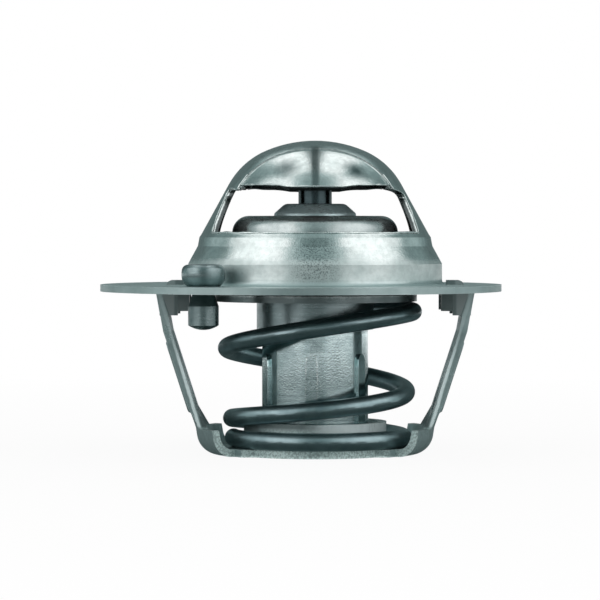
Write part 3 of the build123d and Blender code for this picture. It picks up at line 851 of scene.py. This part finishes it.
def only_in_shine(board):
    """Keeps a board out of the camera's sight and off the diffuse light."""
    board.visible_camera = False
    board.visible_diffuse = False
    board.visible_shadow = False


def profile(tree, value, points):
    """Level along a value from 0 to 1, through points that are joined smoothly."""
    node = put(tree, "ShaderNodeValToRGB", {"Fac": value})
    node.color_ramp.interpolation = "EASE"
    stops = node.color_ramp.elements
    for _ in points[2:]:
        stops.new(0.5)
    for stop, (position, level) in zip(stops, points):
        stop.position = position
        stop.color = (level, level, level, 1)
    return node.outputs["Color"]


def tent_paint():
    """Two wide soft lamps with a dark gap between them, and a grey room behind the object.

    The climb is the angle in degrees up from the camera's side, over the top to the back.
    """
    material, tree = empty_material("tent_paint")
    place = put(tree, "ShaderNodeTexCoord").outputs["Object"]
    way = vector_sum(tree, "NORMALIZE", place)
    split = put(tree, "ShaderNodeSeparateXYZ", {"Vector": way.outputs[0]})
    across = arithmetic(tree, "ABSOLUTE", split.outputs["X"])
    sideways = arithmetic(tree, "MULTIPLY", arithmetic(tree, "ARCSINE", across), 2 / math.pi)
    forward = arithmetic(tree, "MULTIPLY", split.outputs["Y"], -1.0)
    climb = arithmetic(tree, "ARCTAN2", split.outputs["Z"], forward)
    climb = arithmetic(tree, "MULTIPLY", climb, 180 / math.pi)
    low_lamps = profile(tree, sideways, LAMP_LEVELS)
    high_lamps = profile(tree, sideways, OVERHEAD_LEVELS)
    later = ramp(tree, sideways, 0.0, LAMP_RISE, 0.3, 0.6)
    above = ramp(tree, arithmetic(tree, "SUBTRACT", climb, later), 0.0, 1.0, *LAMP_TOP)
    lamps = colour_mix(tree, above, low_lamps, high_lamps)
    dim = ramp(tree, climb, GAP_DIMMING, 0.0, 0.0, GAP_TOP)
    middle = ramp(tree, sideways, 1.0, 0.0, *GAP_SIDES)
    dimmed = arithmetic(tree, "SUBTRACT", 1.0, product(tree, dim, middle))
    front = product(tree, lamps, dimmed, LAMP_PEAK)
    back = profile(tree, sideways, ROOM_LEVELS)
    level = colour_mix(tree, ramp(tree, climb, 0.0, 1.0, *ROOM_START), front, back)
    tint = {0: ramp(tree, level, 1.0, 0.0, 0.30, 1.10), 6: level, 7: ROOM_TINT}
    tinted = put(tree, "ShaderNodeMix", tint, data_type="RGBA", blend_type="MULTIPLY")
    inputs = {"Color": tinted.outputs[2], "Strength": 1.0}
    send_out(tree, put(tree, "ShaderNodeEmission", inputs))
    return material


def table_paint():
    """Grey table that only the metal shows."""
    material, tree = empty_material("table_paint")
    inputs = {"Color": ROOM_TINT, "Strength": TABLE_LEVEL}
    send_out(tree, put(tree, "ShaderNodeEmission", inputs))
    return material


def pitch_tent():
    """Lamps, room and table, as the metal shows them."""
    bpy.ops.mesh.primitive_uv_sphere_add(segments=48, ring_count=24, radius=TENT_RADIUS)
    tent = bpy.context.object
    tent.name = "tent"
    tent.data.materials.append(tent_paint())
    only_in_shine(tent)
    table_place = (0, 0, FLOOR_HEIGHT + TABLE_LIFT)
    bpy.ops.mesh.primitive_plane_add(size=TABLE_SIZE, location=table_place)
    table = bpy.context.object
    table.name = "table"
    table.data.materials.append(table_paint())
    only_in_shine(table)


def around(angle, distance, height):
    """Place round the object, with the angle from the camera's side, positive to the right."""
    turn = math.radians(angle)
    return (distance * math.sin(turn), -distance * math.cos(turn), height)


def soft_box(name, place):
    """Large lamp that faces the object, for its soft and painted parts."""
    lamp = bpy.data.lights.new(name, "AREA")
    lamp.shape = "RECTANGLE"
    lamp.size = BOX_WIDTH
    lamp.size_y = BOX_LENGTH
    lamp.energy = BOX_LEVEL * math.pi * BOX_WIDTH * BOX_LENGTH
    lamp_object = bpy.data.objects.new(name, lamp)
    bpy.context.scene.collection.objects.link(lamp_object)
    lamp_object.location = place
    lamp_object.rotation_euler = (-Vector(place)).to_track_quat("-Z", "Y").to_euler()
    lamp_object.visible_camera = False
    lamp_object.visible_glossy = False


def set_lights():
    for name, angle in (("left_box", -BOX_ANGLE), ("right_box", BOX_ANGLE)):
        soft_box(name, around(angle, BOX_DISTANCE, BOX_HEIGHT))


def set_camera():
    """The photograph's own view: from the front, a little above the flange."""
    lens = bpy.data.cameras.new("camera")
    lens.lens = CAMERA_LENS
    lens.sensor_width = 36.0
    lens.clip_end = 20.0
    camera = bpy.data.objects.new("camera", lens)
    bpy.context.scene.collection.objects.link(camera)
    camera.location = CAMERA_PLACE
    look = Vector(CAMERA_AIM) - Vector(CAMERA_PLACE)
    camera.rotation_euler = look.to_track_quat("-Z", "Y").to_euler()
    bpy.context.scene.camera = camera


dress(["bridge_flange"], bridge_steel())
dress(["lower_frame"], frame_steel())
dress(["valve_plate"], plate_steel())
dress(["guide_bush"], guide_steel())
dress(["piston_pin"], pin_steel())
dress(["element_cup"], cup_metal())
dress(["jiggle_pin", "jiggle_weight"], bleed_metal())
dress(["valve_seal", "rubber_boot"], seal_rubber())
dress(["wax_charge"], wax_filling())
dress(["backup_washer"], washer_plastic())

wind_spring()
raise_window_burr()

bpy.context.scene.view_settings.view_transform = "Standard"
light_world()
lay_floor()
pitch_tent()
set_lights()
set_camera()
